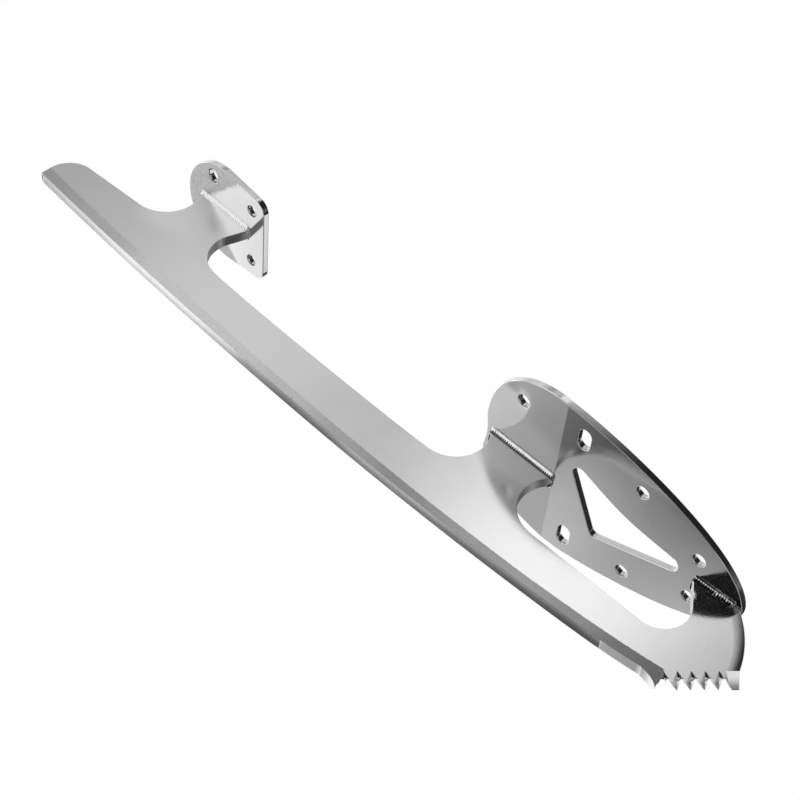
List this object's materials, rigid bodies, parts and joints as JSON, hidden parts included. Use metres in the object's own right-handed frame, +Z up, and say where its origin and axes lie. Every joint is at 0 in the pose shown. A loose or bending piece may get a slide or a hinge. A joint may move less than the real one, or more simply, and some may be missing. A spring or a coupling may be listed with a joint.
{
  "type": "figure skate blade",
  "caption": "Steel figure skate blade: hollow-ground rockered runner with toe picks, brazed to a leaf-shaped sole plate and a rounded heel plate with screw holes.",
  "frame": {"origin": "middle of the box in X and Y, and the height of the lowest point, the tip of the drag pick", "axes": "+X from the tail to the toe picks, +Y to the side away from the camera of the picture, +Z up to the boot"},
  "size_m": [0.2804, 0.059, 0.052],
  "materials": {
    "runner_steel": "satin chrome, ground edge",
    "plate_steel": "polished chrome",
    "braze": "plated braze"
  },
  "bodies": {
    "root": {"runner": "runner_steel", "sole_plate": "plate_steel", "heel_plate": "plate_steel", "heel_braze": "braze", "sole_rear_braze": "braze", "sole_front_braze": "braze"}
  },
  "joints": []
}
